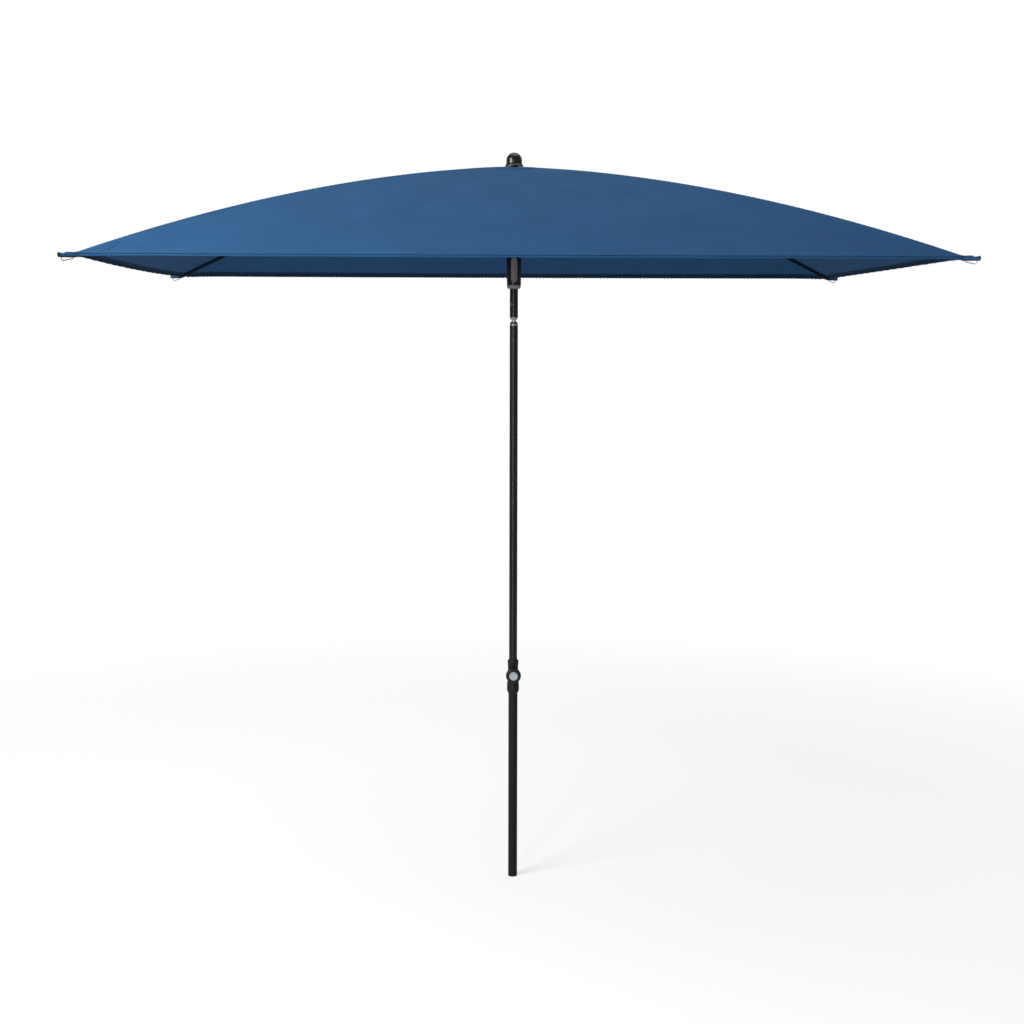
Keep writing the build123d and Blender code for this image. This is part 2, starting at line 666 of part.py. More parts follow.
for corner, angle in CORNERS.items():
    plane = rib_plane(angle)

    # Channel rib, open below, with a flat eye at the hub.
    with BuildPart() as rib:
        with BuildSketch(plane):
            add(arch_band(RIB_START, RIB_END, SPAN, RIB_DROP, rib_low))
        extrude(amount=RIB_W / 2, both=True)
        with BuildSketch(plane):
            add(arch_band(RIB_START - 1, SPAN, SPAN, RIB_DROP + RIB_WALL, rib_low + 1))
        extrude(amount=RIB_W / 2 - RIB_WALL, both=True, mode=Mode.SUBTRACT)
        with BuildSketch(plane):
            with Locations((HINGE_R, HUB_HINGE_Z)):
                Circle(EYE_R)
            add(arch_band(HINGE_R, TAB_END, SPAN, RIB_DROP + 0.6, rib_low))
        extrude(amount=RIB_W / 2 - RIB_WALL, both=True)
        with BuildSketch(plane):
            with Locations((HINGE_R, HUB_HINGE_Z)):
                Circle(PIN_R + RUN)
        extrude(amount=RIB_W, both=True, mode=Mode.SUBTRACT)
    save(rib, f"rib_{corner}")

    # Saddle bracket over the rib, whose two cheeks carry the strut's pivot.
    with BuildPart() as bracket:
        with BuildSketch(plane):
            with BuildLine():
                Polyline(
                    (BRACKET_R - 16, bracket_top + 2.0),
                    (BRACKET_R - 16, bracket_top - rib_low + 3.2),
                    (BRACKET_R - EYE_R - 0.6, BRACKET_Z),
                    (BRACKET_R + EYE_R + 0.6, BRACKET_Z),
                    (BRACKET_R + 16, bracket_top - rib_low - 3.2),
                    (BRACKET_R + 16, bracket_top - 4.0),
                    close=True,
                )
            make_face()
            with Locations((BRACKET_R, BRACKET_Z)):
                Circle(EYE_R + 0.6)
        extrude(amount=cheek, both=True)
        with BuildSketch(plane):
            add(arch_band(BRACKET_R - 20, BRACKET_R + 20, SPAN, -5, RIB_DROP - 1.0))
        extrude(amount=RIB_W, both=True, mode=Mode.SUBTRACT)
        with BuildSketch(plane):
            add(arch_band(BRACKET_R - 20, BRACKET_R + 20, SPAN, RIB_DROP - FIT, 60))
        extrude(amount=RIB_W / 2 + FIT, both=True, mode=Mode.SUBTRACT)
        with BuildSketch(plane):
            with Locations((BRACKET_R, BRACKET_Z)):
                Circle(PIN_R + FIT)
        extrude(amount=RIB_W, both=True, mode=Mode.SUBTRACT)
    save(bracket, f"bracket_{corner}")

    # Rivet through the bracket's cheeks and the strut's eye.
    with BuildPart() as rivet:
        with BuildSketch(plane):
            with Locations((BRACKET_R, BRACKET_Z)):
                Circle(PIN_R)
        extrude(amount=cheek, both=True)
        for side in (-1, 1):
            face = plane.offset(side * cheek)
            with BuildSketch(face):
                with Locations((BRACKET_R, BRACKET_Z)):
                    Circle(RIVET_HEAD_R)
            extrude(amount=side * 0.9)
    save(rivet, f"strut_rivet_{corner}")

    # Strut from the bracket down to the runner: a channel with solid eyes.
    with BuildPart() as strut:
        strut_plane = Plane(
            origin=plane.from_local_coords((HINGE_R, RUNNER_HINGE_Z, 0)),
            x_dir=plane.from_local_coords((BRACKET_R, BRACKET_Z, 0))
            - plane.from_local_coords((HINGE_R, RUNNER_HINGE_Z, 0)),
            z_dir=plane.z_dir,
        )
        with BuildSketch(strut_plane):
            with Locations((ARM / 2, 0)):
                Rectangle(ARM, STRUT_H)
            with Locations((0, 0), (ARM, 0)):
                Circle(EYE_R - 0.2)
        extrude(amount=STRUT_W / 2, both=True)
        with BuildSketch(strut_plane):
            with Locations((ARM / 2, -RIB_WALL)):
                Rectangle(ARM - 28, STRUT_H)
        extrude(amount=STRUT_W / 2 - RIB_WALL, both=True, mode=Mode.SUBTRACT)
        with BuildSketch(strut_plane):
            with Locations((0, 0)):
                Circle(PIN_R + FIT)
            with Locations((ARM, 0)):
                Circle(PIN_R + RUN)
        extrude(amount=STRUT_W, both=True, mode=Mode.SUBTRACT)
    save(strut, f"strut_{corner}")

    # Cross pin in the strut's lower eye, which hooks into the runner's ears.
    with BuildPart() as strut_pin:
        with BuildSketch(plane):
            with Locations((HINGE_R, RUNNER_HINGE_Z)):
                Circle(PIN_R)
        extrude(amount=SLOT_W / 2 + EAR_WALL, both=True)
    save(strut_pin, f"strut_pin_{corner}")

    # Plastic end piece: a shank inside the rib's channel and a level ear with an upturned nose.
    with BuildPart() as rib_tip:
        with BuildSketch(plane):
            with Locations((EAR_START + EAR / 2 - 1, ear_mid)):
                Rectangle(EAR - 2, EAR_H)
        extrude(amount=RIB_W / 2 + 0.9, both=True)
        with BuildSketch(plane):
            with Locations((SPAN - 3.0, ear_mid + 2.0)):
                Ellipse(3.0, 4.8)
        extrude(amount=3.0, both=True)
        with BuildSketch(plane):
            add(arch_band(EAR_START - SHANK, EAR_START + 1, SPAN, shank_top, rib_low - 0.8))
        extrude(amount=RIB_W / 2 - RIB_WALL - RUN, both=True)
        with BuildSketch(plane):
            for end in clip_ends:
                with Locations((end, ear_low)):
                    Rectangle(2 * CLIP_WIRE + 0.1, 4)
        extrude(amount=CLIP_WIRE + RUN, both=True, mode=Mode.SUBTRACT)
    save(rib_tip, f"rib_tip_{corner}")

    # Wire clip that hangs under the ear and holds the canopy's corner.
    with BuildPart() as clip:
        with BuildLine(plane) as wire:
            FilletPolyline(
                (clip_ends[0], ear_low + 1.2),
                (clip_ends[0], ear_low - CLIP_DEPTH / 3),
                (clip_ends[1] - 3, ear_low - CLIP_DEPTH),
                (clip_ends[1], ear_low - CLIP_DEPTH / 2),
                (clip_ends[1], ear_low + 1.2),
                radius=1.7,
            )
        with BuildSketch(Plane(origin=wire.line @ 0, z_dir=wire.line % 0)):
            Circle(CLIP_WIRE)
        sweep()
    save(clip, f"corner_clip_{corner}")

# ---- Canopy cloth ----------------------------------------------------------------------
# One quarter of the cloth is two gores that meet over the rib.
diagonal = SPAN_Y / SPAN_X
reach = 1.2 * SPAN_X
with BuildPart() as long_gore:
    with BuildSketch(Plane.YZ):
        add(arch_band(SEAM_GAP, HEM_Y, SPAN_Y, 0, FABRIC))
    extrude(amount=HEM_X)
    with BuildSketch(Plane.XY):
        with BuildLine():
            Polyline(
                (SEAM_GAP, SEAM_GAP * diagonal),
                (reach, reach * diagonal),
                (SEAM_GAP, reach * diagonal),
                close=True,
            )
        make_face()
    extrude(amount=2 * CROWN_Z, mode=Mode.INTERSECT)

with BuildPart() as short_gore:
    with BuildSketch(Plane.XZ):
        add(arch_band(SEAM_GAP, HEM_X, SPAN_X, 0, FABRIC))
    extrude(amount=-HEM_Y)
    with BuildSketch(Plane.XY):
        with BuildLine():
            Polyline(
                (SEAM_GAP / diagonal, SEAM_GAP),
                (reach, SEAM_GAP),
                (reach, reach * diagonal),
                close=True,
            )
        make_face()
    extrude(amount=2 * CROWN_Z, mode=Mode.INTERSECT)

with BuildPart() as quarter:
    add(long_gore.part)
    add(short_gore.part)
    with BuildSketch(Plane.XY):
        Circle(CROWN_PATCH_R + SEAM_GAP)
    extrude(amount=2 * CROWN_Z, mode=Mode.SUBTRACT)

for corner in CORNERS:
    with BuildPart() as panel:
        add(quarter.part)
        if "left" in corner:
            mirror(about=Plane.YZ, mode=Mode.REPLACE)
        if "front" in corner:
            mirror(about=Plane.XZ, mode=Mode.REPLACE)
    save(panel, f"canopy_{corner}")

# Round reinforcing patch under the finial, part of the same arched surface.
with BuildPart() as crown_patch:
    with BuildSketch(Plane.XZ):
        add(arch_band(0, CROWN_PATCH_R, SPAN, 0, FABRIC))
    revolve(axis=Axis.Z)
    with BuildSketch(Plane.XY.offset(CROWN_Z - 20)):
        Circle(NECK_R + 0.5)
    extrude(amount=40, mode=Mode.SUBTRACT)
save(crown_patch, "crown_patch")
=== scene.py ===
import math

import bpy
import numpy as np
from mathutils import Matrix, Vector


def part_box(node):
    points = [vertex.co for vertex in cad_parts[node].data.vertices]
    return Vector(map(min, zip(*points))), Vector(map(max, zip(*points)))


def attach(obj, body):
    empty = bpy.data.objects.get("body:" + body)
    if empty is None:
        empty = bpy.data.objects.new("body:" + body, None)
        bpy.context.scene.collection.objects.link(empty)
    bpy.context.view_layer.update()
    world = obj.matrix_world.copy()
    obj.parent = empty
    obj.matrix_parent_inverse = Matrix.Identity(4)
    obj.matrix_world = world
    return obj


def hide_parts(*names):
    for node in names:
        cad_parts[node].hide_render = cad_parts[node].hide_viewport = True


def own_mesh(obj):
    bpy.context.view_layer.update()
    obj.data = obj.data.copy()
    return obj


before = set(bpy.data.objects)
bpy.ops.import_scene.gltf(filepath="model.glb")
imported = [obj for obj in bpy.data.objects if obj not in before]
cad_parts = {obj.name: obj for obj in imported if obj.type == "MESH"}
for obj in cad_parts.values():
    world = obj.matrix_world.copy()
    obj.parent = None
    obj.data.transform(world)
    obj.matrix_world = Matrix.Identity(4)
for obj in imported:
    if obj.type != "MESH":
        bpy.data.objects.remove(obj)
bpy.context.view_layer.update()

# ---- Sizes, in metres ------------------------------------------------------------------
SPAN_X = 1.035          # half distance between rib ends along the long side
SPAN_Y = 0.645          # the same along the short side
CROWN_Z = 1.950         # cloth top at the pole
SHOULDER_Z = 1.8995     # control height of the cloth's arch
RIM_Z = 1.6735          # cloth top at the rib ends
FABRIC = 0.0006         # thickness of the cloth
HEM_X, HEM_Y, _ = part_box("canopy_back_right")[1]    # half length and half width of the cloth
CORNER_SHARE = 0.9676   # where the straight hems would meet, as a share of the rib's reach
TAB_SHARE = 0.0195      # how far the cloth's corner is drawn out beyond that, over the ear
TAB_START = 0.93        # share of a hem's half length where it starts to turn outward
LEVEL_SHARE = 0.9665    # beyond this the cloth lies level, on the ear
DROOP_LEFT = 0.0060     # how far the middle of each hem hangs below its ends
DROOP_RIGHT = 0.0005
DROOP_LONG = 0.0003
EAR_DRAPE = 0.0012      # how far the cloth folds down beside the ear
CROWN_SHARE = 0.043     # where the gores begin, under the crown patch
PATCH_R = 0.064         # radius of the crown patch
SAG = 0.006             # how far the cloth hangs between two ribs
RIPPLES = [             # strength, radians a metre along x and y, phase
    (1.0, 23, 11, 0.7),
    (0.8, -17, 31, 2.1),
    (0.6, 41, 19, 4.4),
    (0.4, -52, 37, 1.2),
]
RIPPLE_DEPTH = 0.0005
CORNER_FOLD = 0.0013    # depth of the tension folds that run in from each corner
CORNER_FOLD_AT = 0.06   # distance from the corner where they are deepest
PLEAT_DEPTH = 0.0005    # small pleats around the crown
PLEAT_R = 0.10
PLEAT_REACH = 0.045
STITCH_PITCH = 0.0036
STITCH_LENGTH = 0.0027
STITCH_R = 0.00032
SPAN = math.hypot(SPAN_X, SPAN_Y)
RIB_TURN = math.atan2(SPAN_Y, SPAN_X)

CORNERS = {
    "back_right": (1, 1),
    "back_left": (-1, 1),
    "front_left": (-1, -1),
    "front_right": (1, -1),
}


# ---- Shape of the cloth ----------------------------------------------------------------
def arch_height(share):
    """Height of the arch from crown to rim: a curve of second degree with one control height."""
    bend = CROWN_Z - 2 * SHOULDER_Z + RIM_Z
    return CROWN_Z + 2 * share * (SHOULDER_Z - CROWN_Z) + share * share * bend


def rise(value, start, length):
    """0 up to start, 1 from start + length on, and straight in between."""
    return np.clip((value - start) / length, 0, 1)


def smooth(value):
    """Eases the ends of a rise from 0 to 1."""
    return value * value * (3 - 2 * value)


def corner_folds(x, y, in_long):
    """Tension folds that fan out from the nearest corner and die away from it."""
    gap_x = HEM_X - np.abs(x)
    gap_y = HEM_Y - np.abs(y)
    reach = np.hypot(gap_x, gap_y) / CORNER_FOLD_AT
    turn = np.clip(np.arctan2(gap_y, gap_x), 0, math.pi / 2)
    fraction = np.where(in_long, turn / RIB_TURN, (math.pi / 2 - turn) / (math.pi / 2 - RIB_TURN))
    folds = np.sin(math.pi * np.where(in_long, 3, 4) * np.clip(fraction, 0, 1))
    return CORNER_FOLD * folds * reach * np.exp(1 - reach)


def cloth_z(x, y):
    """Height of the cloth's top: the arch, the sag between ribs, tension folds and ripples."""
    along_x = np.abs(x) / SPAN_X
    along_y = np.abs(y) / SPAN_Y
    in_long = along_y >= along_x
    share = np.maximum(along_x, along_y)
    across = np.minimum(along_x, along_y) / np.maximum(share, 1e-9)
    middle = np.sin(math.pi * np.clip(share, 0, 1))
    z = arch_height(np.minimum(share, LEVEL_SHARE)) - SAG * (1 - across ** 2) * middle
    droop = np.where(in_long, DROOP_LONG, np.where(x < 0, DROOP_LEFT, DROOP_RIGHT))
    z = z - droop * (1 - across ** 2) * rise(share, 0.66, 0.30) ** 2
    beside_ear = rise(across, 0.86, 0.11) * (1 - rise(across, 0.983, 0.009))
    z = z - EAR_DRAPE * smooth(beside_ear) * smooth(rise(share, 0.945, 0.022))
    ripple = sum(strength * np.sin(u * x + v * y + phase) for strength, u, v, phase in RIPPLES)
    z = z + RIPPLE_DEPTH * ripple * (1 - across ** 4) * middle
    z = z + corner_folds(x, y, in_long)
    from_crown = (np.hypot(x, y) - PLEAT_R) / PLEAT_REACH
    pleats = np.sin(14 * np.arctan2(y, x) + 0.6) * np.exp(-(from_crown ** 2))
    return z + PLEAT_DEPTH * pleats


def cloth_points(x, y, lift=0.0):
    return np.stack([x, y, cloth_z(x, y) + lift], axis=-1)


def gore_xy(kind, share, across, corner):
    """Plan position in one half of a gore: share runs from crown to rim, across from middle to rib."""
    sign_x, sign_y = CORNERS[corner]
    if kind == "long":
        return sign_x * across * share * SPAN_X, sign_y * share * SPAN_Y
    return sign_x * share * SPAN_X, sign_y * across * share * SPAN_Y


def hem_share(kind, across):
    """Where the hem's edge lies, as a share of the way from the crown to the rib's end."""
    middle = HEM_Y / SPAN_Y if kind == "long" else HEM_X / SPAN_X
    tab = rise(across, TAB_START, 1 - TAB_START)
    return middle + (CORNER_SHARE - middle) * across ** 2 + TAB_SHARE * tab ** 2


def rib_direction(corner):
    """Plan directions along the rib and square to it."""
    sign_x, sign_y = CORNERS[corner]
    out = np.array([sign_x * math.cos(RIB_TURN), sign_y * math.sin(RIB_TURN)])
    return out, np.array([-out[1], out[0]])


def beside_rib(corner, radius, offset):
    """Plan position at a distance from the axis along a rib, and off to its side."""
    out, side = rib_direction(corner)
    return out[0] * radius + side[0] * offset, out[1] * radius + side[1] * offset


# ---- Mesh helpers ----------------------------------------------------------------------
def make_object(name, points, faces, material, sharp=40):
    """Mesh with smooth faces and the plan position as its texture coordinates."""
    mesh = bpy.data.meshes.new(name)
    mesh.from_pydata([tuple(p) for p in points], [], [tuple(f) for f in faces])
    mesh.validate()
    mesh.polygons.foreach_set("use_smooth", [True] * len(mesh.polygons))
    mesh.set_sharp_from_angle(angle=math.radians(sharp))
    layer = mesh.uv_layers.new(name="UVMap")
    corners = np.empty(len(mesh.loops), np.int32)
    mesh.loops.foreach_get("vertex_index", corners)
    plan = np.asarray(points, float)[:, :2]
    layer.data.foreach_set("uv", plan[corners].astype(np.float32).ravel())
    mesh.materials.append(material)
    obj = bpy.data.objects.new(name, mesh)
    bpy.context.scene.collection.objects.link(obj)
    return obj


def sheet_faces(rows, cols, flip):
    """Faces of a closed sheet: a top grid, a bottom grid and the walls between them."""
    faces = []
    count = rows * cols
    for i in range(rows - 1):
        for j in range(cols - 1):
            a = i * cols + j
            quad = (a, a + cols, a + cols + 1, a + 1)
            faces.append(quad)
            faces.append(tuple(v + count for v in reversed(quad)))
    edge = list(range(cols))
    edge += [i * cols + cols - 1 for i in range(1, rows)]
    edge += [(rows - 1) * cols + j for j in range(cols - 2, -1, -1)]
    edge += [i * cols for i in range(rows - 2, 0, -1)]
    for k, a in enumerate(edge):
        b = edge[(k + 1) % len(edge)]
        faces.append((a, b, b + count, a + count))
    if flip:
        faces = [tuple(reversed(f)) for f in faces]
    return faces


def make_sheet(name, top, thickness, material, flip):
    rows, cols = top.shape[:2]
    bottom = top - np.array([0, 0, thickness])
    points = np.concatenate([top.reshape(-1, 3), bottom.reshape(-1, 3)])
    return make_object(name, points, sheet_faces(rows, cols, flip), material)


def washer_faces(rows, cols):
    """Faces of a closed round sheet with a hole: rows of points from the hole outward."""
    faces = []
    count = rows * cols
    last = count - cols
    for j in range(cols):
        k = (j + 1) % cols
        for i in range(0, last, cols):
            quad = (i + j, i + cols + j, i + cols + k, i + k)
            faces.append(quad)
            faces.append(tuple(v + count for v in reversed(quad)))
        faces.append((k, k + count, j + count, j))
        faces.append((last + j, last + j + count, last + k + count, last + k))
    return faces


def tube_faces(stations, ring, flip):
    """Faces of a closed strip: rings joined in order, with both ends filled."""
    faces = []
    for i in range(stations - 1):
        for j in range(ring):
            k = (j + 1) % ring
            faces.append((i * ring + j, i * ring + k, (i + 1) * ring + k, (i + 1) * ring + j))
    faces.append(tuple(range(ring - 1, -1, -1)))
    last = (stations - 1) * ring
    faces.append(tuple(last + j for j in range(ring)))
    if flip:
        faces = [tuple(reversed(f)) for f in faces]
    return faces


def make_strip(name, rings, material, flip):
    """Closed strip whose profile is given by one line of points for each of its corners."""
    points = np.stack(rings, axis=1)
    stations, ring = points.shape[:2]
    return make_object(name, points.reshape(-1, 3), tube_faces(stations, ring, flip), material, sharp=60)


def spaced(start, end, step):
    """Equal steps from start to end, as near to the given step as fits."""
    return np.linspace(start, end, max(2, int(round(abs(end - start) / step)) + 1))


def along_line(line, pitch):
    """Points at equal spacing along a polyline, with the line's direction at each."""
    steps = np.linalg.norm(np.diff(line, axis=0), axis=1)
    length = np.concatenate([[0], np.cumsum(steps)])
    at = np.arange(pitch / 2, length[-1], pitch)
    points = np.stack([np.interp(at, length, line[:, k]) for k in range(3)], axis=1)
    ahead = np.stack([np.interp(at + 0.001, length, line[:, k]) for k in range(3)], axis=1)
    behind = np.stack([np.interp(at - 0.001, length, line[:, k]) for k in range(3)], axis=1)
    direction = ahead - behind
    return points, direction / np.linalg.norm(direction, axis=1)[:, None]


def make_thread(name, lines, material):
    """Rows of separate stitches along polylines that lie on the cloth."""
    rng = np.random.default_rng(3)
    points, faces = [], []
    for line in lines:
        at, direction = along_line(np.asarray(line, float), STITCH_PITCH)
        for centre, ahead in zip(at, direction):
            side = np.cross(ahead, (0, 0, 1))
            side /= np.linalg.norm(side)
            up = np.cross(side, ahead)
            lean = ahead + side * rng.normal(0, 0.035)
            base = len(points)
            half = STITCH_LENGTH / 2 * (1 + rng.normal(0, 0.04))
            sunk = up * STITCH_R * 0.6
            points.append(centre - lean * half - sunk)
            for place in (-0.45, 0.45):
                middle = centre + lean * half * place
                points += [middle + way * STITCH_R for way in (side, up, -side, -up)]
            points.append(centre + lean * half - sunk)
            for k in range(4):
                n = (k + 1) % 4
                faces.append((base, base + 1 + n, base + 1 + k))
                faces.append((base + 1 + k, base + 1 + n, base + 5 + n, base + 5 + k))
                faces.append((base + 9, base + 5 + k, base + 5 + n))
    return make_object(name, np.array(points), faces, material, sharp=180)


# ---- Materials -------------------------------------------------------------------------
class Shader:
    """Short names for building a node material."""

    def __init__(self, name):
        self.material = bpy.data.materials.new(name)
        self.material.use_nodes = True
        self.tree = self.material.node_tree
        self.bsdf = self.tree.nodes["Principled BSDF"]
        self.coords = self.node("ShaderNodeTexCoord")

    def node(self, kind, **values):
        made = self.tree.nodes.new(kind)
        for key, value in values.items():
            setattr(made, key, value)
        return made

    def link(self, source, target):
        self.tree.links.new(source, target)

    def feed(self, socket, value):
        """Link another node's output, or set a number or a colour."""
        if hasattr(value, "is_output"):
            self.link(value, socket)
        elif hasattr(value, "__len__"):
            socket.default_value = (*value, 1.0)
        else:
            socket.default_value = value

    def scaled(self, scale, source="Object"):
        mapping = self.node("ShaderNodeMapping")
        mapping.inputs["Scale"].default_value = scale if hasattr(scale, "__len__") else (scale,) * 3
        self.link(self.coords.outputs[source], mapping.inputs["Vector"])
        return mapping.outputs["Vector"]

    def noise(self, scale, detail=3.0, rough=0.55, source="Object"):
        noise = self.node("ShaderNodeTexNoise")
        noise.inputs["Scale"].default_value = 1.0
        noise.inputs["Detail"].default_value = detail
        noise.inputs["Roughness"].default_value = rough
        self.link(self.scaled(scale, source), noise.inputs["Vector"])
        return noise.outputs["Fac"]

    def ramp(self, source, stops):
        ramp = self.node("ShaderNodeValToRGB")
        elements = ramp.color_ramp.elements
        while len(elements) < len(stops):
            elements.new(0.5)
        for element, (place, colour) in zip(elements, stops):
            element.position = place
            element.color = (*colour, 1.0)
        self.link(source, ramp.inputs["Fac"])
        return ramp.outputs["Color"]

    def span(self, source, low, high, from_low=0.3, from_high=0.7):
        mapped = self.node("ShaderNodeMapRange")
        mapped.inputs["From Min"].default_value = from_low
        mapped.inputs["From Max"].default_value = from_high
        mapped.inputs["To Min"].default_value = low
        mapped.inputs["To Max"].default_value = high
        self.link(source, mapped.inputs["Value"])
        return mapped.outputs["Result"]

    def math(self, operation, a, b=None):
        made = self.node("ShaderNodeMath", operation=operation)
        self.feed(made.inputs[0], a)
        if b is not None:
            self.feed(made.inputs[1], b)
        return made.outputs["Value"]

    def blend(self, factor, low, high):
        mix = self.node("ShaderNodeMix", data_type="RGBA")
        for name, value in (("Factor", factor), ("A", low), ("B", high)):
            self.feed(next(s for s in mix.inputs if s.name == name and s.enabled), value)
        return next(s for s in mix.outputs if s.enabled)

    def bump(self, height, distance, strength=1.0, under=None):
        bump = self.node("ShaderNodeBump")
        bump.inputs["Distance"].default_value = distance
        bump.inputs["Strength"].default_value = strength
        self.link(height, bump.inputs["Height"])
        if under is not None:
            self.link(under, bump.inputs["Normal"])
        return bump.outputs["Normal"]

    def set(self, **values):
        for key, value in values.items():
            self.feed(self.bsdf.inputs[key.replace("_", " ")], value)


def shade(colour, factor):
    """The colour, made lighter or darker."""
    return tuple(c * factor for c in colour)


def woven(name, colour, thread=0.0009, depth=0.00008):
    """Woven cloth: warp and weft bump, a painted highlight on the thread crests, uneven threads and a
    slow change of tone.
    """
    s = Shader(name)
    u = s.node("ShaderNodeSeparateXYZ")
    s.link(s.scaled(2 * math.pi / thread, "UV"), u.inputs["Vector"])
    warp = s.math("SINE", u.outputs["X"])
    weft = s.math("SINE", u.outputs["Y"])
    weave = s.math("MULTIPLY", warp, weft)
    cloud = s.noise(9, 4)
    slub = s.noise((900, 60, 60), 2, source="UV")
    tone = s.ramp(cloud, [(0.3, shade(colour, 0.93)), (0.7, shade(colour, 1.06))])
    # Painted highlight: the weave's raised points are blended towards a lighter blue, following the
    # bump's height.
    crest_highlight = s.span(weave, 0.0, 0.16, -1.0, 1.0)
    tone = s.blend(crest_highlight, tone, shade(colour, 1.35))
    threads = s.bump(weave, depth, 0.5)
    s.set(
        Base_Color=tone,
        Roughness=s.span(slub, 0.78, 0.9),
        Normal=s.bump(s.noise(60, 3), 0.0004, 0.25, threads),
        Sheen_Weight=0.02,
        Sheen_Roughness=0.5,
        Specular_IOR_Level=0.12,
    )
    return s.material


def moulded(name, colour, rough=0.45, grain=2600, depth=0.00003, spread=0.08, worn=1.5, coat=0.0):
    """Moulded plastic: fine grain, slow tone change and lighter rubbed patches."""
    s = Shader(name)
    cloud = s.noise(35, 4)
    rub = s.noise((160, 160, 60), 5, 0.65)
    tone = s.ramp(cloud, [(0.3, shade(colour, 0.85)), (0.7, shade(colour, 1.2))])
    tone = s.blend(s.span(rub, 0.0, 0.5, 0.56, 0.78), tone, shade(colour, worn))
    s.set(
        Base_Color=tone,
        Roughness=s.span(rub, rough - spread, rough + spread),
        Normal=s.bump(s.noise(grain, 2), depth, 0.6),
        Coat_Weight=coat,
        Coat_Roughness=0.06,
    )
    return s.material


def powder_coat(name, colour, rough=0.38, specular=0.5):
    """Powder-coated tube: orange peel, lengthwise rub marks and a few fine scratches."""
    s = Shader(name)
    peel = s.noise(900, 2)
    cloud = s.noise((14, 14, 5), 4)
    rub = s.noise((420, 420, 7), 4, 0.6)
    scratch = s.noise((900, 900, 9), 3, 0.6)
    tone = s.ramp(cloud, [(0.3, shade(colour, 0.85)), (0.7, shade(colour, 1.18))])
    marks = s.span(scratch, 0.0, 0.25, 0.66, 0.8)
    tone = s.blend(marks, tone, shade(colour, 1.9))
    s.set(
        Base_Color=tone,
        Roughness=s.span(rub, rough - 0.07, rough + 0.09),
        Normal=s.bump(peel, 0.00002, 0.08),
        Specular_IOR_Level=specular,
    )
    return s.material


def metal(name, colour, rough=0.3, brush=(700, 700, 40), depth=0.00002, spread=0.08):
    """Bare or plated metal with a faint brushed grain and duller patches."""
    s = Shader(name)
    grain = s.noise(brush, 3, 0.6)
    cloud = s.noise(60, 4)
    tone = s.ramp(cloud, [(0.3, shade(colour, 0.82)), (0.7, colour)])
    s.set(
        Base_Color=tone,
        Metallic=1.0,
        Roughness=s.span(grain, rough - spread, rough + spread),
        Normal=s.bump(grain, depth, 0.5),
    )
    return s.material


CLOTH_BLUE = (0.0335, 0.126, 0.295)
FINISHES = {
    "canopy_fabric": woven("canopy_fabric_woven", CLOTH_BLUE),
    "lower_tube_paint": powder_coat("lower_tube_powder_coat", (0.011, 0.013, 0.014), 0.42, 0.35),
    "mast_paint": powder_coat("mast_powder_coat", (0.006, 0.009, 0.013), 0.24, 0.7),
    "rib_paint": powder_coat("rib_powder_coat", (0.012, 0.016, 0.022), 0.42),
    "black_plastic": moulded("black_moulding", (0.010, 0.010, 0.011), 0.42),
    "knob_plastic": moulded("knob_moulding", (0.008, 0.011, 0.013), 0.36),
    "grey_cap": moulded("light_grey_cap", (0.62, 0.69, 0.73), 0.38, worn=0.9),
    "zinc_steel": metal("zinc_plated_steel", (0.55, 0.56, 0.57), 0.34),
    "die_cast": metal("polished_casting", (0.70, 0.70, 0.70), 0.2, brush=300),
    "spring_steel": metal("oiled_spring_steel", (0.36, 0.36, 0.36), 0.38),
    "button_metal": metal("button_satin_metal", (0.45, 0.46, 0.47), 0.3, brush=900),
    "gloss_black": moulded(
        "finial_gloss", (0.006, 0.006, 0.007), 0.16, depth=0.000008, spread=0.04, coat=0.6
    ),
    "runner_gloss": moulded(
        "runner_gloss", (0.007, 0.007, 0.009), 0.18, depth=0.00001, spread=0.05, coat=0.3
    ),
    "grey_ring": moulded("grey_ring_moulding", (0.42, 0.42, 0.42), 0.35, worn=0.9),
    "rocker_bronze": moulded("rocker_satin", (0.30, 0.255, 0.25), 0.4, worn=1.3),
    "tip_plastic": moulded("tip_moulding", (0.010, 0.012, 0.016), 0.4),
    "clip_wire": metal("clip_wire_plated", (0.60, 0.58, 0.57), 0.28, brush=900),
}
HEM_CLOTH = woven("canopy_fabric_hem", (0.036, 0.132, 0.305))
# Painted shade: a dark copy of the cloth's blue for the hem's underside, standing in for the light that
# does not pass through the doubled cloth.
HEM_UNDERSIDE_SHADE = woven("canopy_fabric_hem_painted_shade", (0.012, 0.040, 0.100))
THREAD = woven("canopy_sewing_thread", (0.075, 0.19, 0.36), thread=0.0004, depth=0.00004)
SEAM_CLOTH = woven("canopy_fabric_seam", (0.033, 0.124, 0.290))

for name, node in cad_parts.items():
    for place in node.material_slots:
        given = place.material.name if place.material else ""
        found = [key for key in FINISHES if given.startswith(key)]
        if not found:
            raise RuntimeError(f"{name} has no finish for {given or 'an empty slot'}")
        place.material = FINISHES[max(found, key=len)]


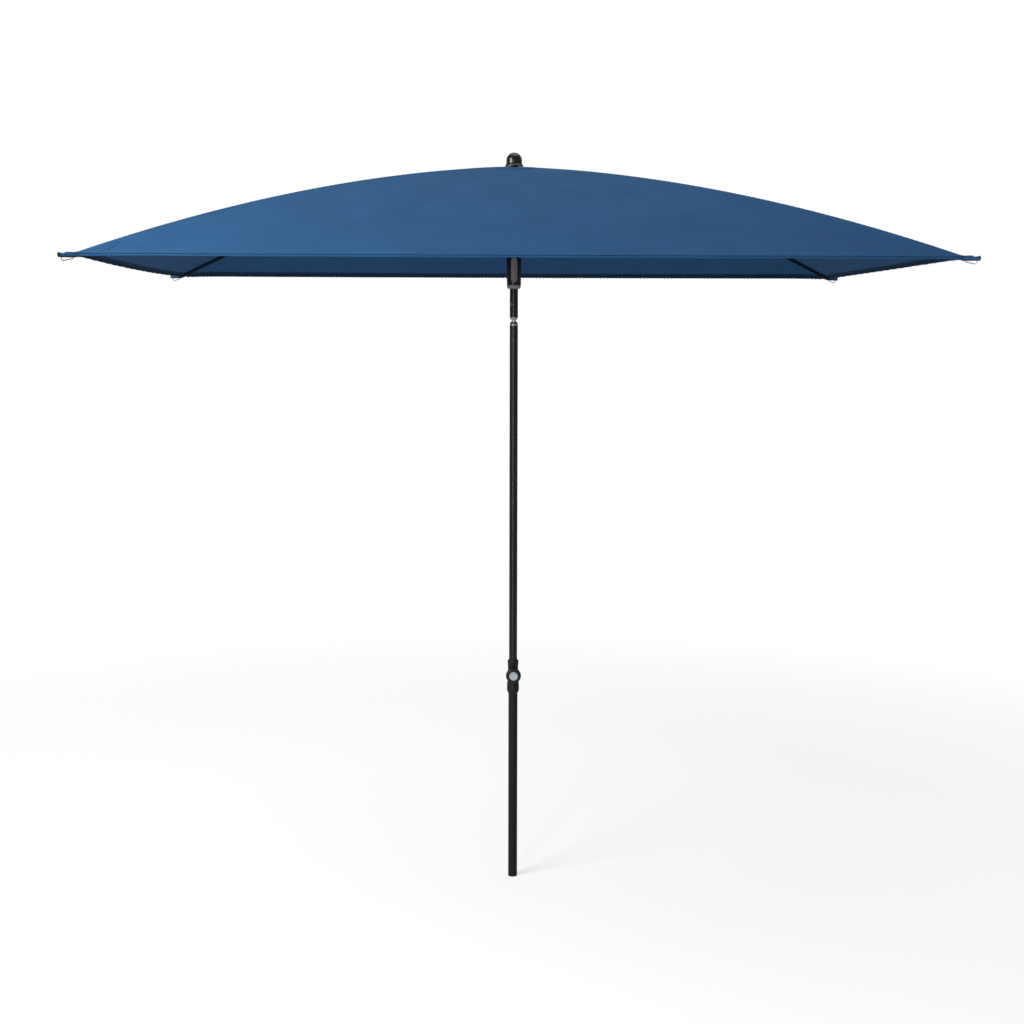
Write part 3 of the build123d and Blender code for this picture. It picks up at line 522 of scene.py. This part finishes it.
# ---- Canopy: one cloth, cut at the rib seams and the gores' middles so that it can fold --
HEM_PROFILE = [         # depth in from the edge and height over the cloth's top
    (0.0140, 0.0001), (0.0124, 0.0000), (0.0112, -0.0001), (0.0098, 0.0004), (0.0070, 0.0007),
    (0.0042, 0.0001), (0.0020, -0.0012), (0.0008, -0.0030), (0.0003, -0.0050), (0.0007, -0.0061),
    (0.0019, -0.0062), (0.0028, -0.0050), (0.0034, -0.0034), (0.0052, -0.0022), (0.0090, -0.0016),
    (0.0112, -0.0014), (0.0124, -0.0014), (0.0140, -0.0014),
]
HEM_TURN = 10           # from this point on, the profile is the hem's inner face
HEM_WIDTH = 0.014
HEM_STITCH = 0.0112     # the stitch line's depth in from the edge
HEM_TOP_STITCH = 0.0002
UNDER_STITCH = -0.0017  # stitches on the cloth's underside
SEAM_PROFILE = [        # offset from the rib's line and height over the cloth's top
    (-0.0056, 0.0000), (-0.0048, 0.0005), (-0.0036, 0.0002), (-0.0022, 0.0008), (0.0, 0.0010),
    (0.0022, 0.0008), (0.0036, 0.0002), (0.0048, 0.0005), (0.0056, 0.0000),
    (0.0056, -0.0008), (0.0030, -0.0018), (-0.0030, -0.0018), (-0.0056, -0.0008),
]
SEAM_STITCH = 0.0038    # the seam's two stitch lines: offset from its middle
SEAM_TOP_STITCH = 0.0004
SEAM_START = 0.050      # distance from the pole's axis where the seam begins
POCKET_TOP = 1.6868     # above the ear, under the cloth
POCKET_LENGTH = 0.050
POCKET_STOP = 0.0035    # how far short of the rib's end it stops
POCKET_PROFILE = [      # offset from the rib's line and drop under the pocket's top
    (-0.0058, 0.0070), (-0.0060, 0.0040), (-0.0059, 0.0016), (-0.0052, 0.0004), (-0.0030, 0.0),
    (0.0030, 0.0), (0.0052, 0.0004), (0.0059, 0.0016), (0.0060, 0.0040), (0.0058, 0.0070),
    (0.0052, 0.0070), (0.0053, 0.0040), (0.0052, 0.0014), (0.0028, 0.0007), (-0.0028, 0.0007),
    (-0.0052, 0.0014), (-0.0053, 0.0040), (-0.0052, 0.0070),
]
PATCH_REACH = 0.052     # size of the reinforcement in the hem's corner
PATCH_STITCH = 0.048    # its stitch line's distance from the corner
PATCH_LIFT = 0.0010     # its top's height over the cloth's top
PATCH_TOP_STITCH = 0.0014
CROWN_HOLE_R = 0.0095
CROWN_FABRIC = 0.0007
CROWN_PRESSED = 0.0004  # height over the cloth's top under the finial's skirt
CROWN_FREE = 0.0008     # how much higher it lies beyond the skirt
CROWN_STITCHES = (0.004, 0.009)     # distances in from the crown patch's edge


def pucker(distance, pitch, amount, phase):
    """Uneven puffing of a sewn strip between its stitches."""
    wave = np.sin(2 * math.pi * distance / pitch + phase)
    slow = np.sin(2 * math.pi * distance / (pitch * 6.3) + phase * 1.7)
    return 1 + amount * wave * (0.6 + 0.4 * slow)


def sew_on(piece, body):
    """The piece rides the body."""
    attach(piece, body)


def make_hem(name, kind, corner):
    """Folded and stitched hem of half a gore."""
    sign_x, sign_y = CORNERS[corner]
    across = spaced(0, 1, 0.0028)
    share = hem_share(kind, across)
    x, y = gore_xy(kind, share, across, corner)
    inward = np.array([0, -sign_y]) if kind == "long" else np.array([-sign_x, 0])
    distance = across * (SPAN_X if kind == "long" else SPAN_Y)
    puff = pucker(distance, 0.0108, 0.28, sign_x + 2 * sign_y)
    room = (1 - across) * share * (SPAN_Y if kind == "long" else SPAN_X)
    width = np.minimum(1, (room + 0.003) / HEM_WIDTH)
    hang = 1 - 0.72 * smooth(rise(across, 0.974, 0.015))
    rings = []
    for depth, lift in HEM_PROFILE:
        px = x + inward[0] * depth * width
        py = y + inward[1] * depth * width
        height = lift * puff if lift > 0 else (lift + FABRIC) * puff - FABRIC
        rings.append(cloth_points(px, py, height * hang))
    hem = make_strip(name, rings, HEM_CLOTH, (sign_x * sign_y > 0) == (kind == "long"))
    # The hem's inner faces get the painted shade material: a darker blue that stands in for less light
    # coming through the doubled cloth.
    hem.data.materials.append(HEM_UNDERSIDE_SHADE)
    ring = len(HEM_PROFILE)
    for face in hem.data.polygons:
        if len(face.vertices) == 4 and HEM_TURN <= face.index % ring < ring - 1:
            face.material_index = 1
    return hem


def hem_stitches(kind, corner, lift):
    """Line of the hem's stitches, up to its corner patch."""
    sign_x, sign_y = CORNERS[corner]
    across = spaced(0, 0.985, 0.004)
    x, y = gore_xy(kind, hem_share(kind, across), across, corner)
    if kind == "long":
        return cloth_points(x, y - sign_y * HEM_STITCH, lift)
    return cloth_points(x - sign_x * HEM_STITCH, y, lift)


def corner_fan(kind, corner, reach, lift, rows=12, cols=14):
    """Points of a rounded reinforcement that starts at the corner of the hem."""
    side, depth = (SPAN_X, SPAN_Y) if kind == "long" else (SPAN_Y, SPAN_X)
    turn = np.linspace(0, math.pi / 2 - 0.06, cols)
    across = 1 - reach / side * np.sin(turn)
    inner = reach / depth * np.cos(turn) * np.linspace(0.01, 1, rows)[:, None]
    share = hem_share(kind, across) - 0.0012 - inner
    x, y = gore_xy(kind, share, np.broadcast_to(across, share.shape), corner)
    return cloth_points(x, y, lift)


def gather(piece, corner):
    """The piece rides its rib and gets a mesh of its own."""
    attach(piece, f"rib_arm_{corner}")
    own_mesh(piece)


def make_gore_half(kind, corner):
    """Half a gore, from its middle to a rib: cloth, hem, corner patch and stitches."""
    sign_x, sign_y = CORNERS[corner]
    flip = (sign_x * sign_y > 0) == (kind == "short")
    across = 1 - (1 - np.linspace(0, 1, 84)) ** 1.5
    rows = np.linspace(0, 1, 100)
    rows = rows - 0.10 * np.sin(2 * math.pi * rows) / (2 * math.pi)
    outer = hem_share(kind, across)
    share = CROWN_SHARE + (outer - CROWN_SHARE) * rows[:, None]
    x, y = gore_xy(kind, share, np.broadcast_to(across, share.shape), corner)
    name = f"{corner}_{kind}"
    cloth = make_sheet(f"cloth_{name}", cloth_points(x, y), FABRIC, FINISHES["canopy_fabric"], flip)
    hem = make_hem(f"hem_{name}", kind, corner)
    fan = corner_fan(kind, corner, PATCH_REACH, PATCH_LIFT)
    patch = make_sheet(f"patch_{name}", fan, FABRIC, SEAM_CLOTH, not flip)
    lines = [hem_stitches(kind, corner, lift) for lift in (HEM_TOP_STITCH, UNDER_STITCH)]
    lines.append(corner_fan(kind, corner, PATCH_STITCH, PATCH_TOP_STITCH)[-1])
    thread = make_thread(f"thread_{name}", lines, THREAD)
    for piece in (cloth, hem, patch, thread):
        gather(piece, corner)
    return cloth, [hem, patch, thread]


def make_pocket(corner):
    """Cloth pocket over the top and sides of the rib's level ear."""
    radius = spaced(SPAN - POCKET_LENGTH, SPAN - POCKET_STOP, 0.0015)
    top = POCKET_TOP + 0.0008 * rise(radius, SPAN - 0.010, 0.006) ** 2
    narrow = 1 - 0.14 * rise(radius, SPAN - 0.016, 0.012) ** 2
    wrinkle = 1 + 0.035 * np.sin(radius * 620 + 0.8) * np.sin(radius * 210)
    rings = []
    for offset, drop in POCKET_PROFILE:
        x, y = beside_rib(corner, radius, offset * narrow * wrinkle)
        rings.append(np.stack([x, y, top - drop * wrinkle], axis=1))
    pocket = make_strip(f"pocket_{corner}", rings, SEAM_CLOTH, True)
    sew_on(pocket, f"rib_arm_{corner}")
    return pocket


def make_rib_seam(corner):
    """Felled seam that joins two gores over the rib."""
    sign_x, sign_y = CORNERS[corner]
    radius = spaced(SEAM_START, SPAN * CORNER_SHARE - 0.002, 0.003)
    puff = pucker(radius, 0.0125, 0.25, sign_x - sign_y)
    rings = []
    for offset, lift in SEAM_PROFILE:
        rings.append(cloth_points(*beside_rib(corner, radius, offset), lift * puff))
    seam = make_strip(f"seam_{corner}", rings, SEAM_CLOTH, False)
    lines = []
    for offset in (-SEAM_STITCH, SEAM_STITCH):
        for lift in (SEAM_TOP_STITCH, UNDER_STITCH):
            lines.append(cloth_points(*beside_rib(corner, radius, offset), lift))
    thread = make_thread(f"seam_thread_{corner}", lines, THREAD)
    for piece in (seam, thread):
        sew_on(piece, f"rib_arm_{corner}")
    return [seam, thread]


def make_crown():
    """Round cloth at the crown that the finial clamps, sewn over the gores' ends."""
    turns = np.linspace(0, 2 * math.pi, 129)[:-1]
    rings = []
    for radius in CROWN_HOLE_R + (PATCH_R - CROWN_HOLE_R) * np.linspace(0, 1, 22):
        lift = CROWN_PRESSED + CROWN_FREE * smooth(rise(radius, 0.020, 0.012))
        rings.append(cloth_points(radius * np.cos(turns), radius * np.sin(turns), lift))
    top = np.stack(rings)
    bottom = top - np.array([0, 0, CROWN_FABRIC])
    points = np.concatenate([top.reshape(-1, 3), bottom.reshape(-1, 3)])
    crown = make_object("crown_cloth", points, washer_faces(*top.shape[:2]), SEAM_CLOTH)
    loop = np.linspace(0, 2 * math.pi, 200)
    lines = []
    for inset in CROWN_STITCHES:
        radius = PATCH_R - inset
        lines.append(cloth_points(radius * np.cos(loop), radius * np.sin(loop), PATCH_TOP_STITCH))
    thread = make_thread("crown_thread", lines, THREAD)
    for piece in (crown, thread):
        sew_on(piece, "canopy_pole")
    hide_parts("crown_patch")


for corner in CORNERS:
    seam_pieces = make_rib_seam(corner) + [make_pocket(corner)]
    for kind in ("long", "short"):
        cloth, sewn = make_gore_half(kind, corner)
        if kind == "long":
            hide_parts(f"canopy_{corner}")
make_crown()

# ---- Floor, light and camera -----------------------------------------------------------
FLOOR_R = 3.4
FLOOR_FADE = (1.6, 3.3)     # the floor fades out between these distances from the pole
FLOOR_GLOW = 0.62           # keeps the floor white for the camera, and lights nothing
AMBIENT = 0.20              # the white surroundings' strength as light

CAMERA_PLACE = (-0.1401, -3.9951, 1.5119)
CAMERA_TURN = (1.954, -6.905, 0.127)    # yaw, pitch and roll in degrees, from looking along +Y
LENS = 51.91                            # millimetres, on a 36 mm sensor

LIGHTS = {                  # place, target, size and watts
    "key": ((-2.5, -1.9, 2.7), (-0.4, 0, 1.5), (1.7, 1.7), 64),
    "strip": ((-1.2, -3.9, 1.3), (0, 0, 1.3), (0.40, 2.6), 20),
    "overhead": ((0.2, 0.4, 4.4), (0, 0, 0), (3.0, 3.0), 24),
}


def make_floor():
    bpy.ops.mesh.primitive_circle_add(vertices=96, radius=FLOOR_R, fill_type="NGON", location=(0, 0, 0))
    floor = bpy.context.object
    floor.name = "floor"
    s = Shader("floor_pale")
    away = s.node("ShaderNodeVectorMath", operation="LENGTH")
    s.link(s.coords.outputs["Object"], away.inputs[0])
    seen = s.node("ShaderNodeLightPath").outputs["Is Camera Ray"]
    s.set(
        Base_Color=(0.8, 0.8, 0.8),
        Roughness=0.9,
        Alpha=s.span(away.outputs["Value"], 1.0, 0.0, *FLOOR_FADE),
        Emission_Color=(1, 1, 1),
        Emission_Strength=s.span(seen, 0.0, FLOOR_GLOW, 0.0, 1.0),
    )
    floor.data.materials.append(s.material)


def make_world():
    """White all round for the camera, and a dim even light for everything else."""
    world = bpy.data.worlds.new("studio")
    bpy.context.scene.world = world
    world.use_nodes = True
    tree = world.node_tree
    back = tree.nodes["Background"]
    back.inputs["Color"].default_value = (1, 1, 1, 1)
    path = tree.nodes.new("ShaderNodeLightPath")
    level = tree.nodes.new("ShaderNodeMapRange")
    level.inputs["To Min"].default_value = AMBIENT
    level.inputs["To Max"].default_value = 1.0
    tree.links.new(path.outputs["Is Camera Ray"], level.inputs["Value"])
    tree.links.new(level.outputs["Result"], back.inputs["Strength"])


def soft_light(name, place, target, size, power):
    """Rectangular area light that faces its target."""
    data = bpy.data.lights.new(name, "AREA")
    data.shape = "RECTANGLE"
    data.size, data.size_y = size
    data.energy = power
    lamp = bpy.data.objects.new(name, data)
    lamp.location = place
    lamp.rotation_mode = "QUATERNION"
    lamp.rotation_quaternion = (Vector(target) - Vector(place)).to_track_quat("-Z", "Y")
    bpy.context.scene.collection.objects.link(lamp)


def make_camera():
    data = bpy.data.cameras.new("camera")
    data.sensor_width = 36
    data.lens = LENS
    data.clip_start, data.clip_end = 0.1, 50
    camera = bpy.data.objects.new("camera", data)
    bpy.context.scene.collection.objects.link(camera)
    yaw, pitch, roll = (math.radians(angle) for angle in CAMERA_TURN)
    forward = Vector((math.sin(yaw) * math.cos(pitch), math.cos(yaw) * math.cos(pitch), math.sin(pitch)))
    level_right = Vector((math.cos(yaw), -math.sin(yaw), 0))
    level_up = level_right.cross(forward)
    right = level_right * math.cos(roll) + level_up * math.sin(roll)
    up = level_up * math.cos(roll) - level_right * math.sin(roll)
    pose = Matrix((right, up, -forward)).transposed().to_4x4()
    pose.translation = Vector(CAMERA_PLACE)
    camera.matrix_world = pose
    bpy.context.scene.camera = camera


make_floor()
make_world()
for name, (place, target, size, power) in LIGHTS.items():
    soft_light(name, place, target, size, power)
make_camera()
bpy.context.scene.view_settings.view_transform = "Standard"
